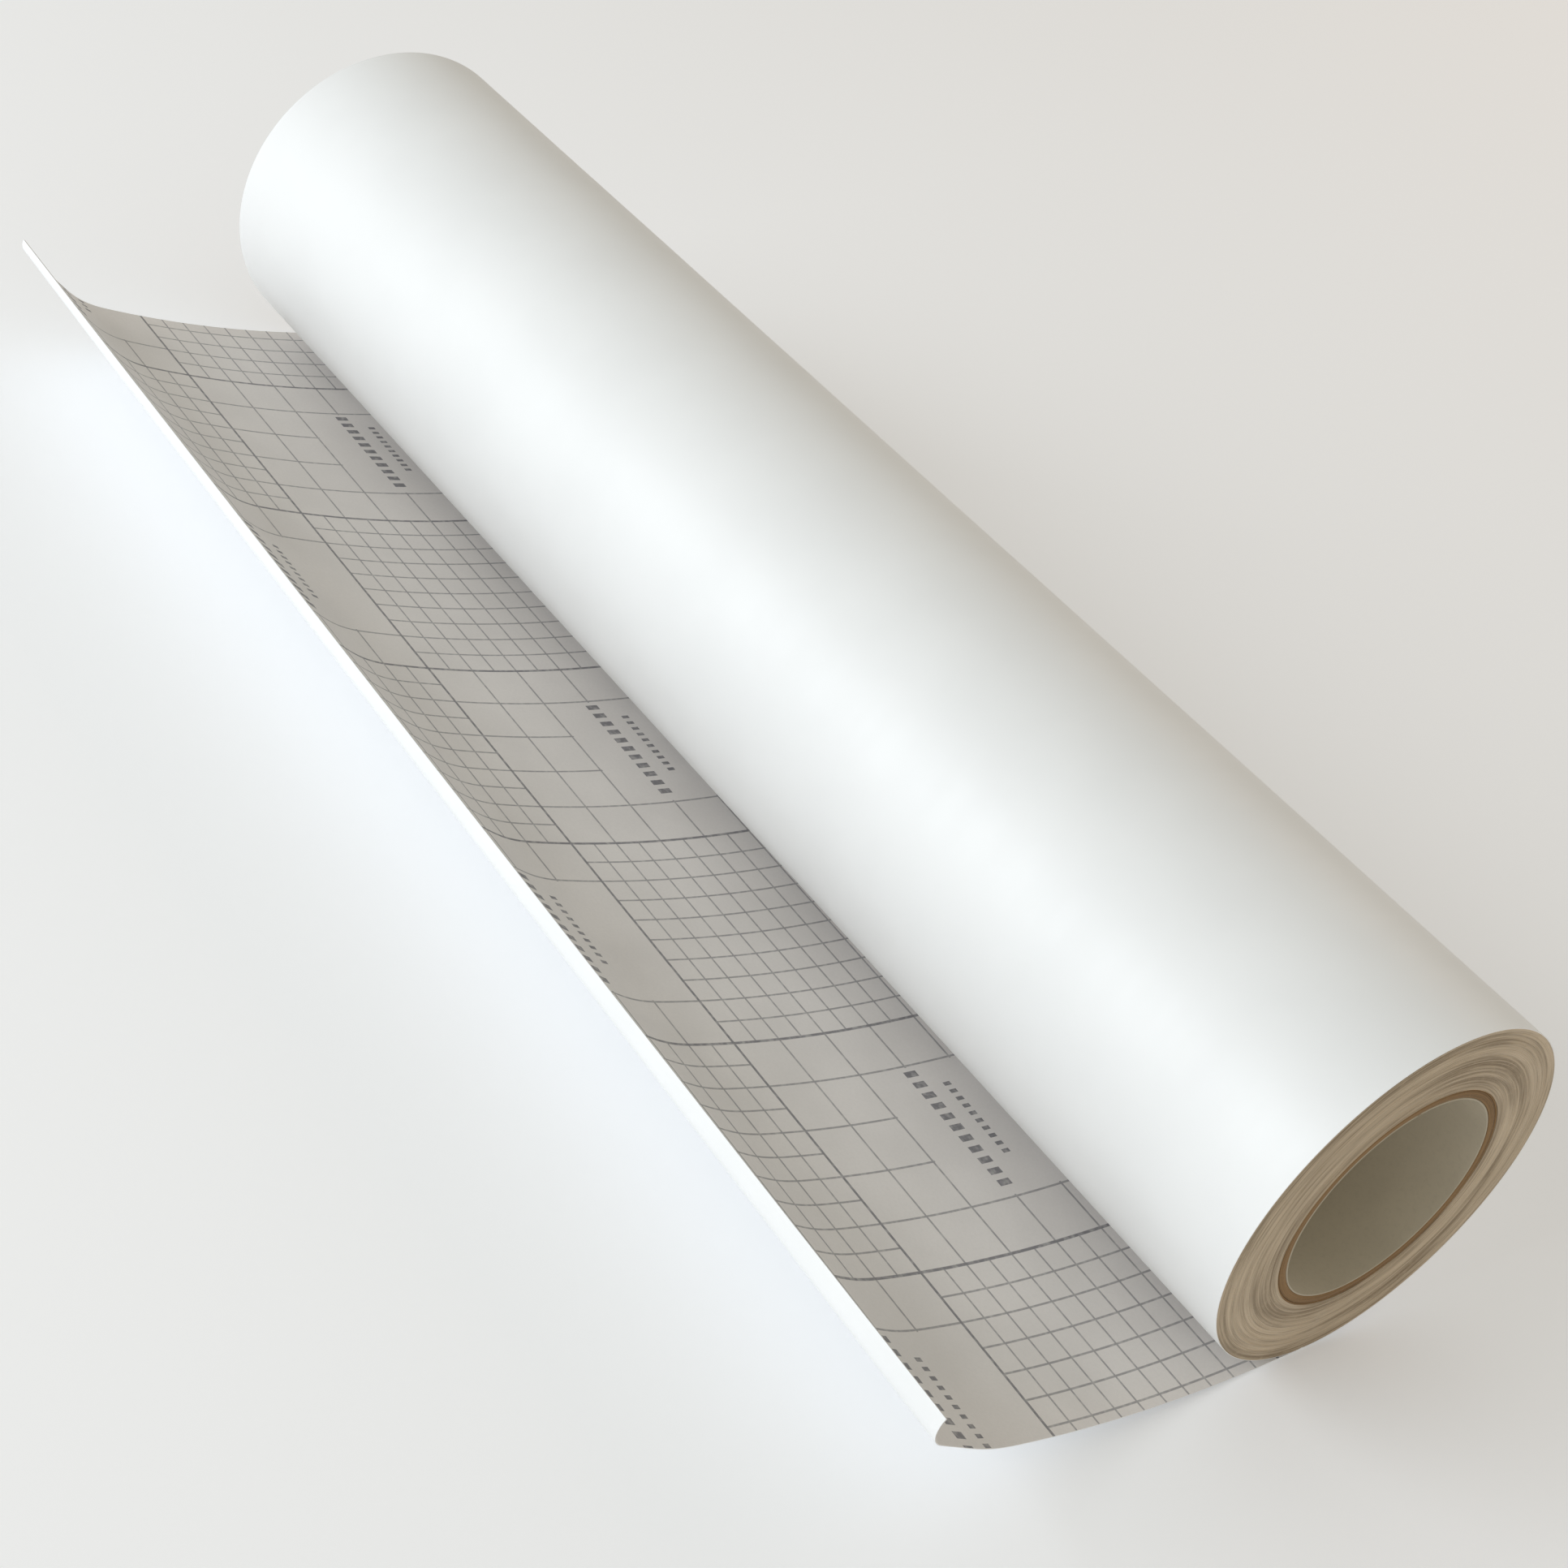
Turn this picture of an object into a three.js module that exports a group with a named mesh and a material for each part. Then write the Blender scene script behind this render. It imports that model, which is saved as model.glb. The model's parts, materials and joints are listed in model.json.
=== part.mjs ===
// Roll of self-adhesive sign vinyl. The web is a laminate of white film, adhesive and printed paper
// liner, wound film side out on a paperboard core. Its outer end is unrolled as a tail that lies flat
// under the roll and curls up towards its free edge.
// Millimetres, +Z up, X along the core, the tail leaves the bottom of the roll towards -Y.
// The origin is the middle of the object's footprint, on the surface that it lies on.

import * as THREE from "three";

// Driving dimensions
const WEB_WIDTH = 610; // slit width of the web, and length of the core
const ROLL_RADIUS = 65; // over the outermost turn
const CORE_BORE_RADIUS = 38.1; // standard 3 inch core
const CORE_WALL = 4;
const CORE_INNER_PLY = 0.6; // smooth lining ply
const CORE_OUTER_PLY = 0.5; // smooth cover ply
const FILM_THICKNESS = 0.09;
const ADHESIVE_THICKNESS = 0.025;
const LINER_THICKNESS = 0.145;
const STARTER_TAPE_THICKNESS = 0.1;
const STARTER_TAPE_WIDTH = 50; // round the core
const FLAT_LENGTH = 30; // tail held flat by the roll, up to the first bend
const FIXED_LINER_LENGTH = 10; // liner on the last leaf, up to the line where it can be peeled
const FACETS = 96; // sides of each round piece
const BEND_GAP = 0.4; // slit between two leaves of the tail, centred on their bend line

// The free part of the tail, leaf by leaf from the roll outwards: length and slope at rest
const LEAVES = [
  { name: "1", length: 40, slope: 7 },
  { name: "2", length: 36, slope: 12 },
  { name: "3", length: 39.5, slope: 21 },
  { name: "edge", length: 28, slope: 42 },
];

// Sizes that follow from them
const WEB_THICKNESS = FILM_THICKNESS + ADHESIVE_THICKNESS + LINER_THICKNESS;
const CORE_RADIUS = CORE_BORE_RADIUS + CORE_WALL;
const FACET_ANGLE = (2 * Math.PI) / FACETS;
const CORNER_SCALE = 1 / Math.cos(FACET_ANGLE / 2); // from a flat's distance to its corners' distance
const TAPE_FACETS = Math.round(STARTER_TAPE_WIDTH / (FACET_ANGLE * CORE_RADIUS));
const TAPE_START = FACETS / 2;

// Layers of the web, as depths below the film's outer face
const LAYERS = {
  film: { from: 0, to: FILM_THICKNESS },
  adhesive: { from: FILM_THICKNESS, to: FILM_THICKNESS + ADHESIVE_THICKNESS },
  liner: { from: FILM_THICKNESS + ADHESIVE_THICKNESS, to: WEB_THICKNESS },
};

const FINISHES = {
  film: { color: 0xf1f1ef, roughness: 0.4, metalness: 0 },
  adhesive: { color: 0xe8e4d8, roughness: 0.25, metalness: 0 },
  liner: { color: 0xbcb5ab, roughness: 0.6, metalness: 0 },
  wound: { color: 0xb5a491, roughness: 0.8, metalness: 0 },
  board: { color: 0x8a6a42, roughness: 0.9, metalness: 0 },
  tape: { color: 0xd9c68c, roughness: 0.5, metalness: 0 },
};

function material(finish) {
  return new THREE.MeshStandardMaterial(FINISHES[finish]);
}

// A closed section in the Y-Z plane, with optional holes, drawn out over the width of the web.
function slabOf(outline, holes = []) {
  const shape = new THREE.Shape(outline);
  for (const hole of holes) shape.holes.push(new THREE.Path(hole));
  const geometry = new THREE.ExtrudeGeometry(shape, { depth: WEB_WIDTH, bevelEnabled: false });
  const along = new THREE.Vector3(1, 0, 0);
  const across = new THREE.Vector3(0, 1, 0);
  const up = new THREE.Vector3(0, 0, 1);
  geometry.applyMatrix4(new THREE.Matrix4().makeBasis(across, up, along));
  geometry.translate(-WEB_WIDTH / 2, 0, 0);
  return geometry;
}

function piece(name, finish, outline, holes) {
  const mesh = new THREE.Mesh(slabOf(outline, holes), material(finish));
  mesh.name = name;
  return mesh;
}

// Corner number k of a facetted circle round the roll's axis. Corners 0 and 1 end the bottom flat,
// and the numbers run anticlockwise seen from +X.
function corner(radius, k) {
  const angle = -Math.PI / 2 + (k - 0.5) * FACET_ANGLE;
  const reach = radius * CORNER_SCALE;
  return new THREE.Vector2(reach * Math.cos(angle), ROLL_RADIUS + reach * Math.sin(angle));
}

function corners(radiusAt, first, last) {
  const points = [];
  for (let k = first; k <= last; k += 1) points.push(corner(radiusAt(k), k));
  return points;
}

function circle(radius) {
  return corners(() => radius, 0, FACETS - 1);
}

function tube(name, finish, innerRadius, outerRadius) {
  return piece(name, finish, circle(outerRadius), [circle(innerRadius)]);
}

// The outermost turn is a true spiral: it loses one thickness of web on its way round, so that its
// end tucks in under the place where the tail leaves.
function turnRadius(k) {
  return ROLL_RADIUS - (WEB_THICKNESS * Math.max(0, k - 1)) / (FACETS - 1);
}

function outerTurn(layer) {
  const outer = corners((k) => turnRadius(k) - LAYERS[layer].from, 0, FACETS);
  const inner = corners((k) => turnRadius(k) - LAYERS[layer].to, 0, FACETS);
  return piece(layer + "_outer_turn", layer, [...outer, ...inner.reverse()]);
}

// The starter tape lies on the core, and the first turn passes over it.
function starterTape() {
  const last = TAPE_START + TAPE_FACETS;
  const under = corners(() => CORE_RADIUS, TAPE_START, last);
  const over = corners(() => CORE_RADIUS + STARTER_TAPE_THICKNESS, TAPE_START, last);
  return piece("starter_tape", "tape", [...over, ...under.reverse()]);
}

// All the turns between the core and the outermost one.
function woundWeb() {
  const last = TAPE_START + TAPE_FACETS;
  const outside = corners((k) => turnRadius(k) - WEB_THICKNESS, 0, FACETS);
  const inside = [
    ...corners(() => CORE_RADIUS, 0, TAPE_START),
    ...corners(() => CORE_RADIUS + STARTER_TAPE_THICKNESS, TAPE_START, last),
    ...corners(() => CORE_RADIUS, last, FACETS - 1),
  ];
  return piece("wound_web", "wound", outside, [inside]);
}

// A straight leaf of the tail: where it starts, and its slope up from the surface.
class Leaf {
  constructor(start, slope, length) {
    const angle = THREE.MathUtils.degToRad(slope);
    this.start = start;
    this.length = length;
    this.outward = new THREE.Vector2(-Math.cos(angle), Math.sin(angle));
    this.inward = new THREE.Vector2(Math.sin(angle), Math.cos(angle));
  }

  point(distance, depth) {
    return this.start
      .clone()
      .addScaledVector(this.outward, distance)
      .addScaledVector(this.inward, depth);
  }

  // The section of one layer. The stops are the places where a layer above or below ends, so that
  // both layers have the same corners there.
  section(layer, from, to, stops = []) {
    const { from: low, to: high } = LAYERS[layer];
    const top = [from, ...stops, to].map((distance) => this.point(distance, high));
    return [...top, this.point(to, low), this.point(from, low)];
  }
}

// The flat start of the tail shares its first corners with the outermost turn.
function flatStart(layer) {
  const { from: low, to: high } = LAYERS[layer];
  const nip = [corner(ROLL_RADIUS - low, 0), corner(ROLL_RADIUS - high, 0)];
  const end = FIRST_BEND.x + BEND_GAP / 2;
  const outline = [...nip, new THREE.Vector2(end, high), new THREE.Vector2(end, low)];
  return piece(layer + "_tail_start", layer, outline);
}

const NIP = corner(ROLL_RADIUS, 0);
const FIRST_BEND = new THREE.Vector2(NIP.x - FLAT_LENGTH, 0);

function tailLeaves() {
  let start = FIRST_BEND;
  return LEAVES.map(({ name, length, slope }) => {
    const leaf = new Leaf(start, slope, length);
    leaf.name = name;
    start = leaf.point(length, 0);
    return leaf;
  });
}

function tailLayer(leaf, layer, stops) {
  const from = BEND_GAP / 2;
  const to = leaf.length - BEND_GAP / 2;
  return piece(layer + "_tail_" + leaf.name, layer, leaf.section(layer, from, to, stops));
}

function buildTail(leaves) {
  const tail = new THREE.Group();
  for (const leaf of leaves.slice(0, -1)) {
    for (const layer of Object.keys(LAYERS)) tail.add(tailLayer(leaf, layer));
  }

  const edge = leaves.at(-1);
  const fixedEnd = FIXED_LINER_LENGTH - BEND_GAP / 2;
  const flapStart = FIXED_LINER_LENGTH + BEND_GAP / 2;
  const flapEnd = edge.length - BEND_GAP / 2;
  tail.add(
    tailLayer(edge, "film"),
    tailLayer(edge, "adhesive", [fixedEnd, flapStart]),
    piece("liner_tail_edge", "liner", edge.section("liner", BEND_GAP / 2, fixedEnd)),
    piece("liner_flap", "liner", edge.section("liner", flapStart, flapEnd)),
  );
  return tail;
}

function buildRoll() {
  const roll = new THREE.Group();
  const liningRadius = CORE_BORE_RADIUS + CORE_INNER_PLY;
  const coverRadius = CORE_RADIUS - CORE_OUTER_PLY;
  roll.add(
    tube("core_inner_ply", "board", CORE_BORE_RADIUS, liningRadius),
    tube("core_body_plies", "board", liningRadius, coverRadius),
    tube("core_outer_ply", "board", coverRadius, CORE_RADIUS),
    starterTape(),
    woundWeb(),
  );
  for (const layer of Object.keys(LAYERS)) roll.add(outerTurn(layer), flatStart(layer));
  return roll;
}

const leaves = tailLeaves();
const object = new THREE.Group();
object.add(buildRoll(), buildTail(leaves));

const box = new THREE.Box3().setFromObject(object);
object.position.y = -(box.min.y + box.max.y) / 2;

const vinylRoll = new THREE.Group();
vinylRoll.add(object);

export default vinylRoll;
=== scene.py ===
"""Looks of a roll of sign vinyl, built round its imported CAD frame.

The web is a laminate of white film, adhesive and printed paper liner, wound film side out on a
paper core. Its outer end is unrolled as a tail, which lies flat under the roll and curls up
towards its free edge. Metres, +Z up, X along the core, and the tail leaves towards -Y.
"""

import json
import math

import bmesh
import bpy
import numpy as np
from bpy.props import FloatProperty, FloatVectorProperty, IntProperty, PointerProperty
from bpy.types import Operator, Panel, PropertyGroup
from mathutils import Matrix, Vector


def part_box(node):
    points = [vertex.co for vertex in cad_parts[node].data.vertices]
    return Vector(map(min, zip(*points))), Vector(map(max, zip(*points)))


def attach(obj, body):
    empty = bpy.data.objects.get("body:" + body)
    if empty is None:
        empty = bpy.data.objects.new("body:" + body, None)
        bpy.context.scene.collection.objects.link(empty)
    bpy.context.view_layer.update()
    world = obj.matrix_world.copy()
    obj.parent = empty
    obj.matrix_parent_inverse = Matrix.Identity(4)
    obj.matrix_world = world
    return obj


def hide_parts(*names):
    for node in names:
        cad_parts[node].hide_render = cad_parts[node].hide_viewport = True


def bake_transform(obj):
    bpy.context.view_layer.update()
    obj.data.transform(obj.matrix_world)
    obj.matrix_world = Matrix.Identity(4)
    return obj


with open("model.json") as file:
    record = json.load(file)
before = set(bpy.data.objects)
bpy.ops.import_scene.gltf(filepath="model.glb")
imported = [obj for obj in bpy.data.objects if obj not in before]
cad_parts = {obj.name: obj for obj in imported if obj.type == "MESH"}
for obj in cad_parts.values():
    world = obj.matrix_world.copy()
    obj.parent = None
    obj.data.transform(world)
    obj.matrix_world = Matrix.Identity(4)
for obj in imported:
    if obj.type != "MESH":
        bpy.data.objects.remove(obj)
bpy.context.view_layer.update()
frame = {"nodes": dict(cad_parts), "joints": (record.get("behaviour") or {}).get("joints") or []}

bl_info = {
    "name": "Sign vinyl roll",
    "version": (1, 0, 0),
    "blender": (4, 5, 0),
    "location": "View3D > Sidebar > Vinyl roll",
    "description": "Builds the looks of a roll of sign vinyl round its CAD frame",
    "category": "Object",
}

MM = 0.001
LAYERS = ("film", "adhesive", "liner")


# ---------------------------------------------------------------------------------------------
# Sizes taken from the frame
# ---------------------------------------------------------------------------------------------

def height_of(node):
    """How tall a CAD node is, in metres."""
    low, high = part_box(node)
    return high.z - low.z


def joint_line(name):
    """Where the axis of a hinge crosses the Y-Z plane."""
    joint = next(j for j in frame["joints"] if j["name"] == name)
    return Vector(joint["pos_m"])


CORE_LOW, CORE_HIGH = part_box("core_outer_ply")
AXIS = (CORE_LOW + CORE_HIGH) / 2
HALF_WIDTH = CORE_HIGH.x
ROLL_RADIUS = AXIS.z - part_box("film_outer_turn")[0].z
CORE_RADIUS = height_of("core_outer_ply") / 2
CORE_BODY_RADIUS = height_of("core_body_plies") / 2
CORE_LINING_RADIUS = height_of("core_inner_ply") / 2

# Depths of each layer below the outer face of the film
LAYER_DEPTHS = {
    layer: (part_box(layer + "_tail_start")[0].z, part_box(layer + "_tail_start")[1].z)
    for layer in LAYERS
}
WEB_THICKNESS = LAYER_DEPTHS["liner"][1]

BEND_1 = joint_line("tail_bend_1")
BEND_2 = joint_line("tail_bend_2")
BEND_3 = joint_line("tail_bend_3")
CURL = joint_line("tail_curl")
PEEL = joint_line("liner_peel")


# ---------------------------------------------------------------------------------------------
# Sizes and colours that a user may change
# ---------------------------------------------------------------------------------------------

def length(name, description, default):
    return FloatProperty(
        name=name, description=description, default=default, unit="LENGTH", precision=5
    )


def angle(name, description, degrees):
    return FloatProperty(
        name=name, description=description, default=math.radians(degrees), subtype="ANGLE"
    )


def colour(name, description, default):
    return FloatVectorProperty(
        name=name, description=description, default=default, subtype="COLOR", min=0, max=1
    )


def number(name, description, default):
    return FloatProperty(name=name, description=description, default=default)


class RollSizes(PropertyGroup):
    """Sizes of the core and of the wound web"""

    bore: length("Core bore", "Radius of the hole through the core", 0.0381)
    core_rim: length("Core rim", "Rounding of the core's ends", 0.0003)
    telescope: length("Telescoping", "How far the slit edges of the turns wander", 0.00034)
    groove: length("Turn groove", "Depth of the groove between two turns", 0.00005)
    bands: length("Gauge bands", "Depth of the soft rings in the wound film", 0.00010)
    segments: IntProperty(name="Segments", description="Segments round the roll", default=144)


class TailSizes(PropertyGroup):
    """Shape of the unrolled tail. Its slope is told by the distance from its free edge"""

    reach: length("Length", "Web from below the core's axis to the free edge, mid-width", 0.17599)
    skew: length("Skew", "How much longer the tail is at the +X end than mid-width", 0.00419)
    rise: length("Rise", "Part of the tail, from its free edge, that is lifted", 0.1775)
    rise_skew: length("Rise skew", "How much longer that part is at the -X end", 0.0103)
    slope: angle("Slope", "Slope that the lifted part would reach at the free edge", 22.46)
    bend: angle("Bend", "Slope before the lip", 36.53)
    bend_twist: angle("Bend twist", "Slope that the bend loses at the +X end", 6.7)
    bend_length: length("Bend length", "Distance from the free edge at which the bend starts", 0.0539)
    lip: angle("Lip", "Extra slope of the curled lip at the free edge", 80.0)
    lip_twist: angle("Lip twist", "Slope that the lip gains at the +X end", 12.0)
    lip_length: length("Lip length", "Distance from the free edge at which the lip starts", 0.0098)
    lip_skew: length("Lip skew", "How much longer the lip is at the +X end", 0.0042)
    lift: length("Liner lift", "How far the liner stands off the adhesive at the edge", 0.0003)
    lift_length: length("Lifted length", "Length of liner that stands off", 0.006)


class PrintSizes(PropertyGroup):
    """The measuring grid printed on the liner"""

    block: length("Block", "Side of a block of the grid", 0.1)
    first_cross: length("Cross line", "X of one block line across the web", 0.0417)
    first_long: length("Long line", "Distance of a block line from the free edge", 0.0689)
    fine_cell: length("Fine cell", "Cell of the fine blocks", 0.01)
    coarse_cell: length("Coarse cell", "Cell of the coarse blocks", 0.02)
    fine_line: length("Fine line", "Width of the fine lines", 0.00072)
    coarse_line: length("Coarse line", "Width of the coarse lines", 0.00078)
    block_line: length("Block line", "Width of the lines round a block", 0.0011)
    panel_from: length("Panel start", "Start of the blank panel of a coarse block", 0.04)
    panel_side: length("Panel side", "Grid left on each side of the blank panel", 0.02)


class FinishColours(PropertyGroup):
    """Colours of the finishes"""

    film: colour("Film", "White film", (0.865, 0.87, 0.865))
    adhesive: colour("Adhesive", "Adhesive over white film", (0.86, 0.84, 0.80))
    liner: colour("Liner", "Siliconised paper", (0.78, 0.745, 0.715))
    ink: colour("Ink", "Printed grid", (0.10, 0.10, 0.12))
    # The two slit-edge colours are painted light and painted shade on the telescoped turns; the
    # lighter one also tints the dust.
    edge_lit_and_dust: colour("Slit edges, light", "Light turns on the end faces", (0.59, 0.48, 0.35))
    edge_shaded: colour("Slit edges, dark", "Dark turns on the end faces", (0.31, 0.235, 0.155))
    board: colour("Core board", "Cut ends of the core's plies", (0.26, 0.15, 0.06))
    lining: colour("Core lining", "Smooth paper inside the core", (0.53, 0.47, 0.36))
    tape: colour("Starter tape", "Tape between core and web", (0.62, 0.52, 0.28))
    floor: colour("Floor", "Pale studio floor", (0.92, 0.92, 0.92))


class StageSettings(PropertyGroup):
    """Light and camera"""

    key: FloatProperty(name="Key light", description="Large soft light", default=44.0, unit="POWER")
    fill: FloatProperty(name="Warm fill", description="Weak light behind", default=5.1, unit="POWER")
    sky: number("Ambient", "Strength of the even light from all round", 0.47)
    floor_glow: number("Floor glow", "Light of the back-lit floor", 0.15)
    lens: FloatProperty(name="Lens", description="Focal length in mm", default=60.8)


# ---------------------------------------------------------------------------------------------
# Mesh making
# ---------------------------------------------------------------------------------------------

SHARP_ANGLE = math.radians(50)


def finish_mesh(name, points, faces, uvs, materials, slots=None):
    """A named object from points, faces and one UV for each point, in metres along the web."""
    mesh = bpy.data.meshes.new(name)
    mesh.from_pydata(points.tolist(), [], faces.tolist())
    for material in materials:
        mesh.materials.append(material)
    if slots is not None:
        mesh.polygons.foreach_set("material_index", slots.astype(np.int32))
    corners = np.empty(len(mesh.loops), np.int32)
    mesh.loops.foreach_get("vertex_index", corners)
    layer = mesh.uv_layers.new(name="web")
    layer.data.foreach_set("uv", uvs[corners].astype(np.float32).ravel())
    shape = bmesh.new()
    shape.from_mesh(mesh)
    bmesh.ops.recalc_face_normals(shape, faces=shape.faces)
    shape.to_mesh(mesh)
    shape.free()
    mesh.polygons.foreach_set("use_smooth", np.ones(len(mesh.polygons), bool))
    mesh.set_sharp_from_angle(angle=SHARP_ANGLE)
    mesh.update()
    thing = bpy.data.objects.new(name, mesh)
    bpy.context.scene.collection.objects.link(thing)
    return thing


def quads(first, second):
    """Quads between two rows of point numbers."""
    return np.stack([first[:-1], first[1:], second[1:], second[:-1]], axis=-1)


def slab(name, lower, upper, uvs, materials):
    """A closed thin sheet between two grids of points. The upper face has the first material."""
    rows, columns = lower.shape[:2]
    count = rows * columns
    low = np.arange(count).reshape(rows, columns)
    high = low + count
    top = [quads(high[r], high[r + 1]) for r in range(rows - 1)]
    rest = [quads(low[r + 1], low[r]) for r in range(rows - 1)]
    for edge in (np.s_[0, :], np.s_[-1, :], np.s_[:, 0], np.s_[:, -1]):
        rest.append(quads(low[edge], high[edge]))
    top, rest = np.concatenate(top), np.concatenate(rest)
    slots = np.concatenate([np.zeros(len(top)), np.full(len(rest), len(materials) - 1)])
    points = np.concatenate([lower.reshape(-1, 3), upper.reshape(-1, 3)])
    flat = uvs.reshape(-1, 2)
    faces = np.concatenate([top, rest])
    return finish_mesh(name, points, faces, np.concatenate([flat, flat]), materials, slots)


def ring(name, grid, uvs, materials, slots=None):
    """A closed ring from a grid of points whose rows and columns both close on themselves."""
    rows, columns = grid.shape[:2]
    index = np.arange(rows * columns).reshape(rows, columns)
    below = np.roll(index, -1, axis=0)
    beside = np.roll(index, -1, axis=1)
    across = np.roll(below, -1, axis=1)
    faces = np.stack([index, beside, across, below], axis=-1).reshape(-1, 4)
    picked = None if slots is None else np.repeat(slots, columns)
    return finish_mesh(name, grid.reshape(-1, 3), faces, uvs.reshape(-1, 2), materials, picked)


def round_axis(x, radius, turned):
    """Points at a radius from the core's axis. Turned is the angle from below the axis, +Y first."""
    y = AXIS.y + radius * np.sin(turned)
    z = AXIS.z - radius * np.cos(turned)
    return np.stack(np.broadcast_arrays(x, y, z), axis=-1)


# ---------------------------------------------------------------------------------------------
# Node making
# ---------------------------------------------------------------------------------------------

class Finish:
    """One material, with short calls that add its nodes."""

    def __init__(self, name):
        self.material = bpy.data.materials.new(name)
        self.material.use_nodes = True
        self.tree = self.material.node_tree
        self.shader = self.tree.nodes["Principled BSDF"]

    def node(self, kind, inputs=(), **settings):
        """A node with some inputs set or joined."""
        made = self.tree.nodes.new("ShaderNode" + kind)
        for key, value in settings.items():
            setattr(made, key, value)
        for socket, value in dict(inputs).items():
            self.put(made.inputs[socket], value)
        return made

    def put(self, socket, value):
        if isinstance(value, bpy.types.NodeSocket):
            self.tree.links.new(value, socket)
        else:
            socket.default_value = value

    def math(self, operation, *values):
        made = self.node("Math", operation=operation)
        for socket, value in zip(made.inputs, values):
            self.put(socket, value)
        return made.outputs[0]

    def web(self):
        """Distances along the core and along the web."""
        split = self.node("SeparateXYZ", {"Vector": self.web_point()})
        return split.outputs["X"], split.outputs["Y"]

    def web_point(self):
        return self.node("UVMap", uv_map="web").outputs["UV"]

    def place(self):
        return self.node("TexCoord").outputs["Object"]

    def noise(self, vector, per_metre, detail=2.0, roughness=0.5):
        """Noise with that many features to the metre."""
        inputs = {"Vector": vector, "Scale": per_metre, "Detail": detail, "Roughness": roughness}
        return self.node("TexNoise", inputs).outputs["Fac"]

    def stretch(self, value, low, high, to_low=0.0, to_high=1.0):
        """Maps low..high to to_low..to_high and holds it there."""
        made = self.node("MapRange", interpolation_type="SMOOTHSTEP")
        for socket, amount in zip(made.inputs, (value, low, high, to_low, to_high)):
            self.put(socket, amount)
        return made.outputs[0]

    def mix(self, share, first, second):
        """A colour between two colours."""
        made = self.node("Mix", data_type="RGBA")
        self.put(made.inputs[0], share)
        for socket, value in ((made.inputs[6], first), (made.inputs[7], second)):
            self.put(socket, value if isinstance(value, bpy.types.NodeSocket) else rgba(value))
        return made.outputs[2]

    def bump(self, height, distance, strength=1.0, under=None):
        inputs = {"Height": height, "Distance": distance, "Strength": strength}
        if under is not None:
            inputs["Normal"] = under
        return self.node("Bump", inputs).outputs["Normal"]

    def surface(self, **inputs):
        """Sets or joins the inputs of the shader by name, with _ for a space."""
        for key, value in inputs.items():
            self.put(self.shader.inputs[key.replace("_", " ")], value)
        return self.material


def rgba(value):
    return (*value[:3], 1.0)


def shade(value, factor):
    """A lighter or darker version of a colour."""
    return tuple(min(1.0, part * factor) for part in value[:3])


def film_finish(colours):
    """Satin white calendered film: faint mottle, fine grain and soft flow lines along the web."""
    f = Finish("film_white_satin")
    point = f.web_point()
    mottle = f.noise(point, 22, detail=3)
    grain = f.noise(point, 1500, detail=2)
    streak = f.noise(f.node("Mapping", {"Vector": point, "Scale": (140, 6, 1)}).outputs[0], 1)
    tint = f.mix(f.stretch(mottle, 0.3, 0.7), shade(colours.film, 0.975), colours.film)
    fine = f.bump(grain, 0.02 * MM, 0.5)
    return f.surface(
        Base_Color=tint,
        Roughness=f.stretch(streak, 0.25, 0.75, 0.40, 0.48),
        IOR=1.53,
        Specular_IOR_Level=0.42,
        Normal=f.bump(streak, 0.05 * MM, 0.35, under=fine),
    )


def adhesive_finish(colours):
    """Clear tacky coat over the white film: glossy, with a fine orange-peel skin."""
    f = Finish("adhesive_gloss")
    point = f.web_point()
    cloud = f.noise(point, 35, detail=4)
    peel = f.noise(point, 700, detail=1)
    tint = f.mix(f.stretch(cloud, 0.3, 0.7), shade(colours.adhesive, 0.95), colours.adhesive)
    return f.surface(
        Base_Color=tint,
        Roughness=f.stretch(cloud, 0.3, 0.7, 0.24, 0.36),
        IOR=1.47,
        Coat_Weight=0.3,
        Coat_Roughness=0.12,
        Normal=f.bump(peel, 0.03 * MM, 0.6),
    )


def plain_liner_finish(colours):
    """Back and cut edges of the liner: siliconised paper without print."""
    f = Finish("liner_back")
    point = f.web_point()
    fibre = f.noise(point, 900, detail=4, roughness=0.65)
    tint = f.mix(fibre, shade(colours.liner, 1.10), shade(colours.liner, 1.28))
    return f.surface(
        Base_Color=tint, Roughness=0.34, IOR=1.45, Normal=f.bump(fibre, 0.02 * MM, 0.5)
    )


INK_EDGE = 0.00012  # softness of a printed edge
GRID_INK = 0.60  # how much ink covers the paper, for each kind of print
FRAME_INK = 0.78
TICK_INK = 0.80
TICK_ROWS = (
    # across the block, up the block, length, height, pitch, width of a tick
    (0.0225, 0.060, 0.0550, 0.0052, 0.0050, 0.0026),
    (0.0300, 0.0705, 0.0350, 0.0030, 0.0035, 0.0016),
)


def line_mask(f, value, cell, width):
    """1 on lines that repeat at every cell, 0 between them."""
    nearest = f.math("MULTIPLY", f.math("ROUND", f.math("DIVIDE", value, cell)), cell)
    off = f.math("ABSOLUTE", f.math("SUBTRACT", value, nearest))
    half = f.math("MULTIPLY", width, 0.5)
    low = f.math("SUBTRACT", half, INK_EDGE)
    high = f.math("ADD", half, INK_EDGE)
    return f.math("SUBTRACT", 1.0, f.stretch(off, low, high))


def inside_mask(f, value, low, high):
    """1 between two values, 0 outside."""
    above = f.math("GREATER_THAN", value, low)
    return f.math("MULTIPLY", above, f.math("LESS_THAN", value, high))


def either(f, coarse, when_fine, when_coarse):
    """One number in the fine blocks and another in the coarse blocks."""
    return f.math("MULTIPLY_ADD", coarse, when_coarse - when_fine, when_fine)


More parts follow.
